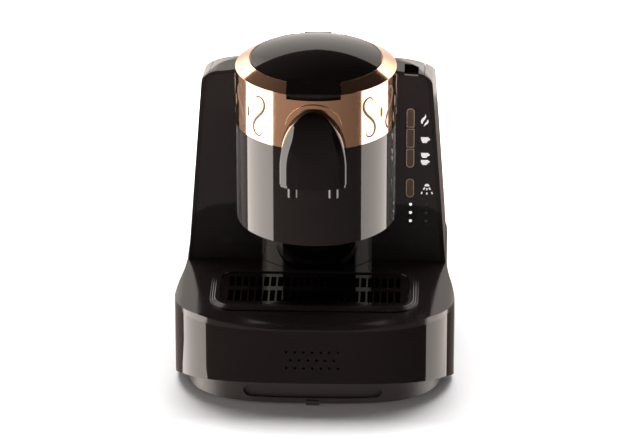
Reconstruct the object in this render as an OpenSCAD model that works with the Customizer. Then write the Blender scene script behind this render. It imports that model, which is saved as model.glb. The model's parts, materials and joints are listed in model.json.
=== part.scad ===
// Electric Turkish coffee maker: a brew head with a lidded pot stands over a drip tray,
// with a lift-out water tank behind it. Millimetres, +Z up, the front faces -Y.
// Origin: centre of the bounding box on the surface the feet stand on.

/* [Base] */
// Width of the base
base_w = 248; // [240:1:270]
// Width of the base under the rear body
base_rear_w = 232; // [230:1:236]
// Depth of the base
base_d = 262; // [256:1:290]
// Height from the foot plate to the deck seam
base_h = 75; // [70:1:90]
// Height of the deck above its seam
deck_h = 7; // [5:0.5:9]
// Depth of the rounded front of the base plan
front_round = 91; // [80:1:100]
// Depth of the rounded rear of the base plan
rear_round = 60; // [50:1:66]
// Wall of the moulded shells
wall = 2.5; // [2:0.1:3]
// How far the skirt stands back from the wall
skirt_inset = 11; // [9:0.5:13]
// Height of the skirt seen under the front wall
skirt_h = 25; // [20:1:27]
// Height of a rubber foot
foot_h = 3; // [2:0.5:5]
// Radius of a rubber foot
foot_r = 9; // [7:0.5:11]

/* [Rear body] */
// Width of the rear body where it meets the deck
body_bottom_w = 229; // [222:1:232]
// Width of the rear body under its top corners
body_top_w = 203; // [198:1:210]
// Distance from the brew head axis back to the front panel
panel_setback = 25; // [22:1:30]
// Height of the panel top below the top of the gold band
body_drop = 16; // [11:1:20]
// Distance from the rear of the base to the rear of the body
body_setback = 9; // [7:0.5:12]
// Crown of the top cover above the panel
crown_h = 3.5; // [2:0.5:5]
// Thickness of the front panel
panel_t = 3; // [2.5:0.1:4]
// Border of the housing seen around the panel
panel_border = 3.5; // [3:0.1:5]

/* [Brew head] */
// Distance from the front of the base back to the brew head axis
head_setback = 108; // [106:1:114]
// Radius of the brew head shell
head_r = 69.6; // [68:0.2:72]
// Height of the cup space between the deck and the head
cup_space_h = 57; // [54:1:70]
// Height of the dark part of the head
head_h = 91; // [88:1:100]
// Height of the gold band
band_h = 50; // [46:1:56]
// Thickness of the gold band
band_t = 2.9; // [2.4:0.1:3.4]
// How far the gold band stands proud of the head shell
band_proud = 0.6; // [0.4:0.1:1]
// Height of the gold chamfer ring
chamfer_h = 7; // [6:0.5:9]
// Radius of the lid dome
dome_r = 57.2; // [56:0.2:59]
// Height of the lid dome above the chamfer ring
dome_h = 10; // [8:0.5:12]
// Width of the latch tab
tab_w = 46; // [36:1:50]
// Height of the finger gap under the latch tab
tab_gap_h = 4.3; // [3.5:0.1:6]

/* [Brewing pot] */
// Inner radius of the pot
pot_r = 45; // [42:0.5:48]
// Wall of the pot
pot_t = 1.5; // [1:0.1:2]
// Inside depth of the pot
pot_depth = 57; // [50:1:58]
// Radius of the pot outlet
outlet_r = 4; // [3:0.5:5]

/* [Spout] */
// Half width of the spout housing
spout_hw = 28.8; // [27:0.2:31]
// Distance the spout housing stands out from the head
spout_out = 22; // [20:0.5:23]
// Height of the top of the spout arch below the top of the gold band
spout_drop = 12; // [11:0.5:16]
// Height of the spout housing
spout_h = 66.5; // [64:0.5:70]
// Height of the straight lower part of the spout housing
spout_straight_h = 17.5; // [14:0.5:22]
// Distance between the two nozzles
nozzle_gap = 35; // [32:0.5:38]
// Outer radius of a nozzle
nozzle_r = 4.6; // [4:0.1:5.4]
// Length of the nozzle below the housing
nozzle_out = 10; // [8:0.5:13]

/* [Drip tray] */
// Width of the tray flange
tray_w = 182; // [174:1:186]
// Depth of the tray flange
tray_d = 82; // [76:1:83]
// Depth of the tray basin
basin_h = 30; // [22:1:36]
// Corner radius of the tray flange
tray_corner = 22; // [18:0.5:26]
// Pitch of the grille slots
slot_pitch = 6.1; // [5.6:0.1:7]
// Width of a grille slot
slot_w = 4.5; // [3.5:0.1:4.7]
// Number of slots in a row
slot_count = 25; // [15:2:25]
// Length of a rear slot
rear_slot_l = 19; // [15:0.5:20]
// Length of a front slot
front_slot_l = 22; // [18:0.5:23]
// Thickness of the grille
grille_t = 2.5; // [2:0.1:3]

/* [Buttons] */
// Distance of the buttons from the middle of the machine
button_x = 82.3; // [80:0.1:84]
// Width of a button
button_w = 7.1; // [6:0.1:8]
// Height of a button
button_h = 18.2; // [16:0.1:19]
// Gap between stacked buttons
button_gap = 1.1; // [0.9:0.1:2]
// Extra space above the cleaning button
clean_gap = 9.6; // [8:0.1:12]
// Height of the top of the button column below the panel top
button_drop = 34.5; // [32:0.5:42]
// Travel of a button
button_travel = 0.8; // [0.5:0.1:1.2]

/* [Water tank] */
// Width of the tank
tank_w = 152; // [140:1:158]
// Room between the brew head and the tank
tank_setback = 19; // [17:0.5:24]
// Wall of the tank
tank_wall = 2; // [1.6:0.1:2.6]
// Width of the tank lid
lid_w = 188; // [184:1:192]
// Thickness of the tank lid and the top cover
cover_t = 2.5; // [2:0.1:3]
// Width of the finger notch in the top cover
notch_w = 12.5; // [10:0.5:14]

/* [Hardware] */
// Radius of the brewing lid hinge pin
lid_pin_r = 1.5; // [1.2:0.1:1.8]
// Radius of the tank lid hinge pin
tank_pin_r = 1; // [0.8:0.1:1.2]
// Radius of a screw shank
screw_r = 1.5; // [1.2:0.1:1.8]
// Inner radius of the mains cord inlet
inlet_r = 3.6; // [3:0.1:4.5]
// Gap between pieces that move past each other
gap = 0.4; // [0.3:0.05:0.5]
// Gap between a hinge pin and its bore
pin_fit = 0.05; // [0.03:0.01:0.1]

/* [Hidden] */

$fn = 96;
cut = 1;               // how far a cutting solid runs past the face it cuts
seat = 0.3;            // gap between a loose piece and what it rests on
plan_power = 3.1;      // squareness of the rounded base plan
plan_steps = 28;       // steps of each rounded end of the base plan

// Levels, from the standing surface up
seam_z = foot_h + base_h;
deck_z = seam_z + deck_h;
head_z = deck_z + cup_space_h;
band_z = head_z + head_h;
band_top = band_z + band_h;
rim_z = band_top + chamfer_h;
panel_top = band_top - body_drop;
housing_z = seam_z + 3;
wall_low_z = foot_h + 2;

// Places along the depth
front_y = -base_d / 2;
rear_y = base_d / 2;
head_y = front_y + head_setback;
panel_y = head_y + panel_setback;
body_rear = rear_y - body_setback;

// Base
pan_t = 3;
pan_top = foot_h + skirt_h + 2.5;
ledge_t = 2.5;
ledge_w = 6;
waist_front = front_y + 58;
lift_d = 69;           // how far back the front wall's lower edge runs down to the floor
boss_r = 4.8;
boss_h = 14;
boss_ys = [-20, rear_y - 76];
foot_x = base_w / 2 - skirt_inset - 26;
foot_ys = [front_y + 62, rear_y - 48];
grip_w = 121;
grip_h = 10.5;
grip_deep = 3;
sound_rows = [[7, 0], [6, 1], [7, 2]];
sound_top = foot_h + 55;
sound_pitch = 7.5;
sound_row_pitch = 7.7;
sound_r = 1.25;
inlet_x = 40;
inlet_z = foot_h + 42;
inlet_y = rear_y - rear_round
  + rear_round * pow(1 - pow(2 * inlet_x / base_rear_w, plan_power), 1 / plan_power);
inlet_l = 14;
speaker_w = 52;
speaker_h = 26;
speaker_d = 9;
speaker_z = sound_top - sound_row_pitch;
speaker_y = front_y + wall + 0.5;
power_w = 90;
power_d = 62;
power_x = -52;
power_y = rear_y - 79;
power_z = foot_h + pan_t + 9;
pump_r = 17;
pump_l = 62;
pump_x = 46;
pump_y = rear_y - 73;
pump_z = foot_h + pan_t + 12 + pump_r;
cradle_t = 6;
cradle_w = 30;
cradle_xs = [pump_x - pump_l / 2 + 6, pump_x + pump_l / 2 - 12];
saddle_h = 4;

// Deck
roll_side = 40;
roll_front = 34;
deck_floor_t = 1.5;
board_t = 1.6;

// Drip tray
tray_front = front_y + 26;
tray_y = tray_front + tray_d / 2;
flange_w = 6;
flange_h = 2.6;
basin_wall = 2;
basin_w = tray_w - 2 * flange_w;
basin_d = tray_d - 2 * flange_w;
basin_corner = tray_corner - flange_w;
tray_rest = deck_z + seat;
grille_w = basin_w - 2 * basin_wall - 2 * gap;
grille_d = basin_d - 2 * basin_wall - 2 * gap;
grille_corner = basin_corner - basin_wall;
grille_z = tray_rest - 1.2;
slot_border = (grille_d - rear_slot_l - front_slot_l) / 3;
pillar_r = 62;
pillar_front = tray_front + tray_d + 1;
pillar_y = pillar_front + pillar_r;

// Brew head
arm_h = 10;
arm_hw = 24;
arm_plate = 3;
band_r = head_r + band_proud;
sleeve_r = band_r - band_t;
column_top = band_top - 2;
shell_in = head_r - wall;
sleeve_in = sleeve_r - 0.2 - wall;
// Room round the lid dome, so that its back edge clears the ring as it swings up
rim_gap = 1;
ring_in = dome_r + rim_gap;
pot_fillet = 12;
ledge_z = rim_z - 2;
flange_z = column_top;
pot_floor = flange_z + pot_t - pot_depth - pot_t;
heater_t = 6;
heater_r = pot_r - 2;
heater_z = pot_floor - pot_t - heater_t - seat;
duct_r = 4;
duct_bore = 2.8;
cross_r = duct_r - 0.3;
duct_z = heater_z - duct_r - 2;
valve_w = 24;
valve_low = duct_z - 16;

// Brewing lid
hinge_back = 63;
hinge_y = head_y + hinge_back;
hinge_z = band_top + 0.5;
lug_r = 3.4;
lug_w = 24;
ear_t = 4;
hinge_slot = lug_w + 2 * ear_t + 4 * seat;
slot_z = hinge_z - 8;
tab_y = head_y - band_r - 0.5;
liner_r = pot_r + 6.2;
liner_z = ledge_z - 2.5;
dome_t = 2.4;
dome_big_r = (dome_r * dome_r + dome_h * dome_h) / (2 * dome_h);

// Spout
spout_top = band_top - spout_drop;
spout_z = spout_top - spout_h;
spout_front = head_y - head_r - spout_out;
spout_wall = 2.2;
nozzle_y = head_y - head_r - spout_out * 0.55;
nozzle_bore = 2.6;
floor_z = spout_z + 0.3;
floor_t = 1.2;
collar_w = 4.5;
collar_t = 1.6;
collar_hw = 0.83 * spout_hw;
collar_z = spout_top - 16.5;
collar_low = band_top - collar_z - 1.5;

// Buttons, from the top one down
button_top = panel_top - button_drop;
button_pitch = button_h + button_gap;
function button_z(i) = button_top - button_h / 2 - i * button_pitch - (i > 2 ? clean_gap : 0);
button_proud = 0.7;
button_lip = 1.3;
board_y = panel_y + 14;
switch_d = 4;
lamp_top = button_z(3) - button_h / 2 - 7;
lamp_pitch = 8;
lamp_xs = [button_x + 0.7, button_x + 14.5];
lamp_r = 1.4;

// Rear body
corner_x = 17;
corner_h = 12;
crest_d = 12;
fall_r = 60;
fall_angle = 30;
shoulder_x = 55;       // where the rounded shoulders of the top begin
shoulder_h = 27;       // how far they fall
shoulder_lean = 15;    // their lean towards the rear, which leaves the panel's corners whole
shoulder_drop = 3;
shoulder_y = 43;       // depth at which they lie level with the top
shoulder_room = 3;     // how far they stand out beyond the top's width
shoulder_crown = 2;
rear_corner = 20.5;
body_round = rear_round - body_setback;
rear_flat = 0.2;       // how far the plan curve would bulge past the flat rear face
fall_y = panel_y + crest_d + fall_r * sin(fall_angle);
fall_z = panel_top + crown_h - fall_r * (1 - cos(fall_angle));
corner_y = body_rear - rear_corner;
corner_z = slope_z(corner_y + rear_corner * sin(fall_angle)) - rear_corner * cos(fall_angle);

// Water tank
hose_r = 3.6;
loom_r = 3;
tank_front = head_y + head_r + tank_setback;
tank_d = body_rear - tank_front;
riser_x = -40;
riser_y = tank_front - 16;
loom_x = riser_x - 10;
tank_z = deck_z + 8;
tank_floor = tank_z;
tank_top_gap = cover_t + 2 * seat;
bay_gap = 0.5;
frame_t = 2;           // thickness of the housing's rim behind the front panel
frame_w = 6;           // width of that rim
notch_x = lid_w / 2 - notch_w - 5;
notch_deep = 8;
bay_wall = 2.4;
lid_front = panel_y + 22;
tank_hinge_y = corner_y + rear_corner * sin(fall_angle) - 3;
hinge_groove = 3.6;    // room behind the lid hinge for the lid's rear edge
knuckle_r = 2.4;
rail_d = 8;            // depth of the tank's rear rail in front of the hinge
rail_h = 10;           // height of the rail below the hinge
knuckle_hw = 3.5;      // half length of a tank knuckle
barrel_hw = 30;        // half length of the lid's barrel between the knuckles
knuckle_x = barrel_hw + 2 * seat + knuckle_hw;
tank_pin_hw = knuckle_x + knuckle_hw - 0.2;
tank_hinge_z = slope_z(tank_hinge_y) - knuckle_r - 0.4;
valve_y = tank_front + tank_d / 2;
valve_r = 7;
cover_ring = band_r + 1;

// ---------------------------------------------------------------- outlines

// Points of a rounded end: a power curve from angle a0 to angle a1
function power_arc(a, b, y, a0, a1, n = plan_steps) = [
  for (i = [0:n])
    let (t = a0 + (a1 - a0) * i / n)
      [a * sign(cos(t)) * pow(abs(cos(t)), 2 / plan_power),
       y + b * sign(sin(t)) * pow(abs(sin(t)), 2 / plan_power)]
];

// Share of the full width that the base keeps at depth y: it draws in towards the rear body
function waist(y) =
  let (t = min(1, max(0, (y - waist_front) / (panel_y + 4 - waist_front))))
    1 - (1 - base_rear_w / base_w) * (1 - cos(180 * t)) / 2;

// Plan of the base, moved in by inset
function base_plan(inset) =
  let (
    a = base_w / 2 - inset,
    front = power_arc(a, front_round - inset, front_y + front_round, 180, 360),
    side = [for (i = [1:7]) [a, front_y + front_round + (panel_y + 8 - front_y - front_round) * i / 7]],
    rear = power_arc(a, rear_round - inset, rear_y - rear_round, 0, 180),
    back = [for (i = [len(side) - 1:-1:0]) [-side[i][0], side[i][1]]]
  )
    [for (p = concat(front, side, rear, back)) [p[0] * waist(p[1]), p[1]]];

// Half distance between two base bosses at depth y
function boss_x(y) = base_w / 2 * waist(y) - wall - boss_r + 0.4;

// Plan of the rear body, moved in by side at its sides and rear
function body_plan(side) = concat(
  [[-body_hw(housing_z) + side, head_y], [body_hw(housing_z) - side, head_y]],
  power_arc(body_hw(housing_z) - side, body_round + rear_flat - side, body_rear - body_round, 0, 180)
);

// Quarter ellipse from (0, h) to (w, 0)
function roll_points(x0, x1, z0, h, n = 10) = [
  for (i = [0:n]) [x0 + (x1 - x0) * sin(90 * i / n), z0 + h * cos(90 * i / n)]
];

function mirrored(points) = concat(
  points, [for (i = [len(points) - 1:-1:0]) [-points[i][0], points[i][1]]]
);

// Half width of the rear body at height z
function body_hw(z) = body_bottom_w / 2
  - (body_bottom_w - body_top_w) / 2 * (z - deck_z) / (panel_top - corner_h - deck_z);

// Front outline of the rear body: the sides lean in, the top is crowned
function body_outline(side, top) = mirrored(concat(
  [for (i = [0:6])
    let (x = (body_top_w / 2 - corner_x) * i / 6)
      [x, panel_top + crown_h - top - (crown_h + 1) * pow(i / 6, 2)]],
  [for (i = [1:8])
    [body_top_w / 2 - corner_x + (corner_x - side) * sin(90 * i / 8),
     panel_top - 1 - corner_h + (corner_h - top) * cos(90 * i / 8)]],
  [[body_hw(housing_z) - side, housing_z - cut]]
));

// Front outline of the rear body's shoulders, rounder than the panel's corners
function shoulder_outline(side, top) =
  let (z = panel_top + crown_h - shoulder_drop,
       a = body_top_w / 2 + shoulder_room - shoulder_x - max(side, 0))
    mirrored(concat(
      [for (i = [0:3]) [shoulder_x * i / 3, z - top - shoulder_crown * pow(i / 3, 2)]],
      [for (i = [1:8])
        [shoulder_x + a * sin(90 * i / 8),
         z - shoulder_crown - shoulder_h + (shoulder_h - top) * cos(90 * i / 8)]],
      [[body_bottom_w / 2 + 8 - side, 0]]
    ));

// Side profile of the rear body: a short crest, then a fall to the rear corner
function slope_z(y) = fall_z - (y - fall_y) * tan(fall_angle);
function body_profile(front, top, back) = concat(
  [[front, housing_z - cut], [front, panel_top - 0.5 - top],
   [max(front, panel_y + 3), panel_top + crown_h * 0.6 - top],
   [panel_y + 8, panel_top + crown_h - top]],
  [for (i = [0:8])
    let (t = fall_angle * i / 8)
      [panel_y + crest_d + (fall_r - top) * sin(t),
       panel_top + crown_h - fall_r + (fall_r - top) * cos(t)]],
  [for (i = [0:8])
    let (t = fall_angle + (90 - fall_angle) * i / 8)
      [corner_y + (rear_corner - back) * sin(t), corner_z + (rear_corner - top) * cos(t)]],
  [[body_rear - back, housing_z - cut]]
);

// ---------------------------------------------------------------- helpers

module plan_prism(inset, z0, z1) {
  translate([0, 0, z0]) linear_extrude(z1 - z0) polygon(base_plan(inset));
}

// Extrudes a front outline (x, z) from y0 back to y1
module front_prism(y0, y1) {
  translate([0, y1, 0]) rotate([90, 0, 0]) linear_extrude(y1 - y0) children();
}

// Extrudes a side profile (y, z) across the width w
module side_prism(w) {
  translate([-w / 2, 0, 0]) rotate([90, 0, 90]) linear_extrude(w) children();
}

module round_slab(w, d, r, z0, z1, y = 0) {
  translate([0, y, z0]) {
    translate([-w / 2 + r, -d / 2, 0]) cube([w - 2 * r, d, z1 - z0]);
    translate([-w / 2, -d / 2 + r, 0]) cube([w, d - 2 * r, z1 - z0]);
    for (sx = [-1, 1], sy = [-1, 1])
      translate([sx * (w / 2 - r), sy * (d / 2 - r), 0]) cylinder(h = z1 - z0, r = r);
  }
}

module head_disc(r, z0, z1) {
  translate([0, head_y, z0]) cylinder(h = z1 - z0, r = r);
}

module head_tube(r_out, r_in, z0, z1) {
  difference() {
    head_disc(r_out, z0, z1);
    head_disc(r_in, z0 - cut, z1 + cut);
  }
}

module rod_x(x0, x1, y, z, r) {
  translate([x0, y, z]) rotate([0, 90, 0]) cylinder(h = x1 - x0, r = r);
}

module rod_y(y0, y1, x, z, r) {
  translate([x, y1, z]) rotate([90, 0, 0]) cylinder(h = y1 - y0, r = r);
}

module rod_z(z0, z1, x, y, r) {
  translate([x, y, z0]) cylinder(h = z1 - z0, r = r);
}

// A hose along points, with round elbows; turn tilts the elbows' poles off the hose
module hose(points, r, turn = [0, 0, 0]) {
  for (i = [0:len(points) - 2]) {
    a = points[i];
    v = points[i + 1] - a;
    l = norm(v);
    translate(a) rotate([0, acos(v[2] / l), atan2(v[1], v[0])]) cylinder(h = l, r = r);
    if (i > 0) translate(a) rotate(turn) sphere(r = r + 0.2);
  }
}

// ---------------------------------------------------------------- base

module base_ledge_ring(inset0, inset1, z0, z1) {
  difference() {
    plan_prism(inset0, z0, z1);
    plan_prism(inset1, z0 - cut, z1 + cut);
  }
}

// Room under the front wall: its lower edge falls away towards the rear
module front_lift() {
  side_prism(base_w + 2 * cut) polygon([
    [front_y - cut, 0], [front_y - cut, foot_h + skirt_h], [front_y + lift_d * 0.2, foot_h + skirt_h - 4],
    [front_y + lift_d * 0.54, foot_h + skirt_h * 0.6], [front_y + lift_d, wall_low_z],
    [front_y + lift_d, 0]
  ]);
}

module sound_holes() {
  for (row = sound_rows, i = [0:row[0] - 1])
    rod_y(front_y - cut, front_y + 8, (i - (row[0] - 1) / 2) * sound_pitch,
          sound_top - row[1] * sound_row_pitch, sound_r);
}

module boss_places() {
  for (sx = [-1, 1], y = boss_ys) translate([sx * boss_x(y), y, 0]) children();
}

module base_shell() {
  color([0.12, 0.105, 0.11]) difference() {
    union() {
      base_ledge_ring(0, wall, wall_low_z, seam_z);
      base_ledge_ring(wall / 2, wall + ledge_w, pan_top, pan_top + ledge_t);
      boss_places() translate([0, 0, pan_top]) cylinder(h = boss_h, r = boss_r);
    }
    front_lift();
    sound_holes();
    boss_places() translate([0, 0, pan_top - cut]) cylinder(h = boss_h - 2, r = screw_r + pin_fit);
    rod_y(inlet_y - 3 * wall, rear_y + cut, inlet_x, inlet_z, inlet_r + 3 + pin_fit);
    for (i = [-3:3]) translate([-inlet_x + i * 8, rear_y - 4 * wall, inlet_z - 9]) cube([3.5, 5 * wall, 26]);
  }
}

// Long recess in the skirt, cut between two insets of the plan
module grip_slot(extra, inset0, inset1) {
  y = front_y + skirt_inset;
  r = grip_h / 2;
  z = foot_h + 5 + r;
  intersection() {
    base_ledge_ring(inset0, inset1, foot_h, pan_top - ledge_t);
    union() {
      translate([-grip_w / 2 + r, y - 2 * cut, z - r - extra]) cube([grip_w - 2 * r, 40, 2 * r + 2 * extra]);
      for (s = [-1, 1]) rod_y(y - 2 * cut, y + 40, s * (grip_w / 2 - r), z, r + extra);
    }
  }
}

module base_pan() {
  color([0.16, 0.14, 0.14]) difference() {
    union() {
      difference() {
        union() {
          plan_prism(skirt_inset, foot_h, pan_top);
          plan_prism(wall + seat, pan_top - ledge_t, pan_top);
        }
        plan_prism(skirt_inset + wall, foot_h + pan_t, pan_top + cut);
      }
      grip_slot(wall, skirt_inset + 1, skirt_inset + wall + grip_deep);
      translate([-6, front_y + skirt_inset - 1.6, foot_h - 1]) cube([12, 4, 4]);
    }
    grip_slot(0, skirt_inset - 2 * cut, skirt_inset + grip_deep);
    boss_places() cylinder(h = pan_top + cut, r = screw_r + pin_fit);
    for (sx = [-1, 1], y = foot_ys) rod_z(foot_h - cut, foot_h + 1, sx * foot_x, y, foot_r - 2);
  }
  color([0.16, 0.14, 0.14]) board_posts();
  color([0.16, 0.14, 0.14]) pump_saddle();
}

module rubber_feet() {
  color([0.05, 0.05, 0.05]) for (sx = [-1, 1], y = foot_ys) {
    rod_z(0, foot_h, sx * foot_x, y, foot_r);
    rod_z(foot_h, foot_h + 1, sx * foot_x, y, foot_r - 2.3);
  }
}

module base_screws() {
  color("silver") boss_places() {
    translate([0, 0, pan_top - ledge_t - 2]) cylinder(h = 2, r = 2 * screw_r);
    translate([0, 0, pan_top - ledge_t]) cylinder(h = 10, r = screw_r);
  }
}

// Deck form: the plan with its edges rolled over
module deck_form(inset, top, low) {
  edge = 0.6;
  intersection() {
    plan_prism(inset, low, deck_z + cut);
    front_prism(front_y - cut, rear_y + cut)
      polygon(mirrored(concat(
        roll_points(base_w / 2 - roll_side, base_w / 2 - inset, seam_z + edge, deck_h - edge - top),
        [[base_w / 2 + cut, seam_z + edge], [base_w / 2 + cut, low - cut]])));
    side_prism(base_w + 2 * cut)
      polygon(concat(
        [[rear_y + cut, low - cut], [front_y - cut, low - cut], [front_y - cut, seam_z + edge]],
        [for (i = [10:-1:0])
          let (p = roll_points(0, roll_front - inset, seam_z + edge, deck_h - edge - top)[i])
          [front_y + roll_front - p[0], p[1]]],
        [[rear_y + cut, deck_z - top]]));
  }
}

// Step that the rear housing stands on
module housing_step(extra) {
  translate([-base_w / 2, panel_y - extra, housing_z]) cube([base_w, base_d, base_d]);
}

module base_cover() {
  color([0.13, 0.115, 0.12]) difference() {
    deck_form(0, 0, seam_z);
    intersection() {
      deck_form(wall, wall, seam_z - cut);
      translate([-base_w / 2, front_y, seam_z - 2 * cut]) cube([base_w, panel_y - front_y - 1, base_d]);
    }
    intersection() {
      plan_prism(skirt_inset, seam_z - cut, housing_z - deck_floor_t);
      translate([-base_w / 2, panel_y - 2, seam_z - 2 * cut]) cube([base_w, base_d, base_d]);
    }
    housing_step(seat);
    round_slab(basin_w + 2 * gap, basin_d + 2 * gap, basin_corner + gap, seam_z - cut, deck_z + cut, tray_y);
    rod_z(seam_z - cut, deck_z, 0, valve_y, 12);
    rod_z(seam_z - cut, deck_z, riser_x - 5, riser_y, 13);
  }
}

module speaker() {
  color([0.2, 0.2, 0.2]) {
    translate([-speaker_w / 2, speaker_y, speaker_z - speaker_h / 2])
      cube([speaker_w, speaker_d, speaker_h]);
    rod_y(speaker_y + speaker_d, speaker_y + speaker_d + 8, 0, speaker_z, speaker_h / 3);
  }
}

// Power board on four posts, at the left rear of the base

module power_corners() {
  for (sx = [-1, 1], sy = [-1, 1])
    translate([power_x + sx * (power_w / 2 - 5), power_y + sy * (power_d / 2 - 5), 0]) children();
}

module board_posts() {
  power_corners() translate([0, 0, foot_h + pan_t]) cylinder(h = power_z - foot_h - pan_t, r = 3.5);
}

module power_board() {
  color([0.1, 0.32, 0.18])
    translate([power_x - power_w / 2, power_y - power_d / 2, power_z]) cube([power_w, power_d, board_t]);
  color([0.15, 0.15, 0.16]) {
    for (i = [0:2]) translate([power_x - 38 + i * 26, power_y + 6, power_z + board_t]) cube([19, 16, 15]);
    for (i = [0:3]) rod_z(power_z + board_t, power_z + board_t + 18, power_x - 30 + i * 20, power_y - 16, 6);
  }
}

module mains_inlet() {
  color([0.06, 0.06, 0.06]) difference() {
    union() {
      rod_y(inlet_y - inlet_l, inlet_y, inlet_x, inlet_z, inlet_r + 3);
      rod_y(inlet_y - wall - 3.2, inlet_y - wall - 1.2, inlet_x, inlet_z, inlet_r + 5.5);
    }
    rod_y(inlet_y - inlet_l - cut, inlet_y + cut, inlet_x, inlet_z, inlet_r);
  }
}

// Vibration pump lying across the base, on two rubber cradles

module water_pump() {
  color([0.75, 0.75, 0.72]) {
    rod_x(pump_x - pump_l / 2, pump_x + pump_l / 2, pump_y, pump_z, pump_r);
    rod_x(pump_x - pump_l / 2 - 12, pump_x - pump_l / 2, pump_y, pump_z, 5);
    rod_x(pump_x + pump_l / 2, pump_x + pump_l / 2 + 10, pump_y, pump_z, 5);
  }
}

module pump_mounts() {
  color([0.08, 0.08, 0.08]) difference() {
    for (x = cradle_xs)
      translate([x, pump_y - cradle_w / 2, foot_h + pan_t + saddle_h])
        cube([cradle_t, cradle_w, pump_z - foot_h - pan_t - saddle_h]);
    rod_x(pump_x - pump_l, pump_x + pump_l, pump_y, pump_z, pump_r + seat / 2);
  }
}

module pump_saddle() {
  for (x = cradle_xs)
    translate([x - 1, pump_y - cradle_w / 2 - 1, foot_h + pan_t])
      cube([cradle_t + 2, cradle_w + 2, saddle_h]);
}

// ---------------------------------------------------------------- rear body

// Solid form of the rear body; side, top and back say how far those faces move in
module body_form(side, top, front = panel_y, back = 0) {
  intersection() {
    translate([0, 0, housing_z]) linear_extrude(panel_top + 2 * crown_h - housing_z)
      polygon(body_plan(side));
    front_prism(front, rear_y) polygon(body_outline(side, top));
    side_prism(base_w) polygon(body_profile(front, top, back));
    translate([0, shoulder_y, panel_top]) rotate([-shoulder_lean, 0, 0])
      translate([0, 0, -panel_top]) front_prism(-base_d / 2, base_d) polygon(shoulder_outline(side, top));
  }
}

// Region under the tank lid and the top cover
module cover_zone(w, y0, y1) {
  difference() {
    translate([-w / 2, y0, housing_z]) cube([w, y1 - y0, band_top]);
    head_disc(cover_ring, 0, 2 * band_top);
  }
}

module bay_box(extra, y0, z0) {
  translate([-tank_w / 2 - extra, y0 - extra, z0]) cube([tank_w + 2 * extra, base_d, band_top]);
}

// Layer of the given depth under the outer surface, from the panel back to y1
module top_layer(depth, w, y1) {
  intersection() {
    difference() {
      body_form(-cut, -cut, panel_y - 2 * cut, -cut);
      body_form(-2 * cut, depth, panel_y - 3 * cut, depth);
    }
    translate([-w / 2, panel_y - 2 * cut, housing_z + cut]) cube([w, y1 - panel_y + 2 * cut, band_top]);
  }
}

// Pocket under the finger notch, grown by extra
module notch_pocket(extra) {
  translate([notch_x - extra, panel_y + panel_t + gap, panel_top - notch_deep - extra])
    cube([notch_w + 2 * extra, lid_front - panel_y - panel_t - 3 + extra, notch_deep + extra]);
}

module rear_housing() {
  color([0.17, 0.155, 0.16]) difference() {
    union() {
      difference() {
        body_form(0, 0);
        body_form(wall, cover_t + seat + wall, panel_y + panel_t + gap + frame_t, wall);
      }
      intersection() {
        body_form(0, cover_t + seat);
        difference() {
          bay_box(bay_gap + bay_wall, tank_front, housing_z);
          bay_box(bay_gap, tank_front, housing_z - cut);
        }
      }
      intersection() {
        notch_pocket(wall);
        body_form(0, cover_t + seat);
      }
    }
    front_prism(panel_y - cut, panel_y + panel_t + gap + frame_t + cut)
      polygon(body_outline(panel_border + frame_w, panel_border + frame_w));
    bay_box(bay_gap, tank_front, tank_z - seat);
    top_layer(cover_t + seat, lid_w + 2 * gap, tank_hinge_y + hinge_groove);
    notch_pocket(0);
    head_disc(band_r + 2 * seat, head_z - 1, 2 * band_top);
    panel_cut(gap);
  }
}

// Place of the front panel inside the housing's front edge, grown by extra
module panel_cut(extra) {
  intersection() {
    front_prism(panel_y - cut, panel_y + panel_t + extra)
      polygon(body_outline(panel_border - extra, cover_t + seat));
    translate([-base_w, panel_y - 2 * cut, housing_z - 2 * cut]) cube([2 * base_w, 30, band_top]);
  }
}

// Button shape: an upright bar whose top and bottom ends may be round
module button_bar(i, y0, y1, extra) {
  r = button_w / 2;
  w = button_w + 2 * extra;
  low = -button_h / 2 + (i < 2 ? -extra : r);
  high = button_h / 2 - (i == 0 || i == 3 ? r : -extra);
  translate([button_x, 0, button_z(i)]) {
    translate([-w / 2, y0, low]) cube([w, y1 - y0, high - low]);
    if (i > 1) rod_y(y0, y1, 0, low, w / 2);
    if (i == 0 || i == 3) rod_y(y0, y1, 0, high, w / 2);
  }
}

module front_panel() {
  color([0.11, 0.1, 0.105]) difference() {
    intersection() {
      front_prism(panel_y, panel_y + panel_t) polygon(body_outline(panel_border, cover_t + seat));
      translate([-base_w, panel_y - cut, housing_z]) cube([2 * base_w, 30, band_top]);
    }
    head_disc(head_r + seat, head_z - seat, 2 * band_top);
    head_disc(band_r + seat, band_z - seat, 2 * band_top);
    for (i = [0:3]) button_bar(i, panel_y - 5, panel_y + 2 * panel_t, seat);
    for (x = lamp_xs, i = [0:2])
      rod_y(panel_y - cut, panel_y + 2 * panel_t, x, lamp_top - i * lamp_pitch, lamp_r);
  }
}

// Fixed top cover beside the head; the right one has the finger notch
module top_cover(side) {
  color([0.2, 0.185, 0.19]) difference() {
    intersection() {
      difference() {
        body_form(0, 0);
        body_form(-cut, cover_t, panel_y - cut, cover_t);
      }
      cover_zone(lid_w, panel_y, lid_front - gap);
      translate([side > 0 ? 0 : -base_w, -base_d, panel_top - 20]) cube([base_w, 2 * base_d, 60]);
    }
    translate([notch_x, panel_y - cut, panel_top - 20]) cube([notch_w, lid_front - panel_y - 2, 60]);
  }
}

module top_cover_left() { top_cover(-1); }
module top_cover_right() { top_cover(1); }

// Half-round cover of the stand below the head

module pillar_cover() {
  color([0.1, 0.09, 0.095]) intersection() {
    difference() {
      rod_z(deck_z, head_z - seat, 0, pillar_y, pillar_r);
      rod_z(deck_z - cut, head_z, 0, pillar_y, pillar_r - wall);
    }
    translate([-pillar_r, pillar_front - cut, 0])
      cube([2 * pillar_r, panel_y - pillar_front + cut, band_top]);
  }
}

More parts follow.
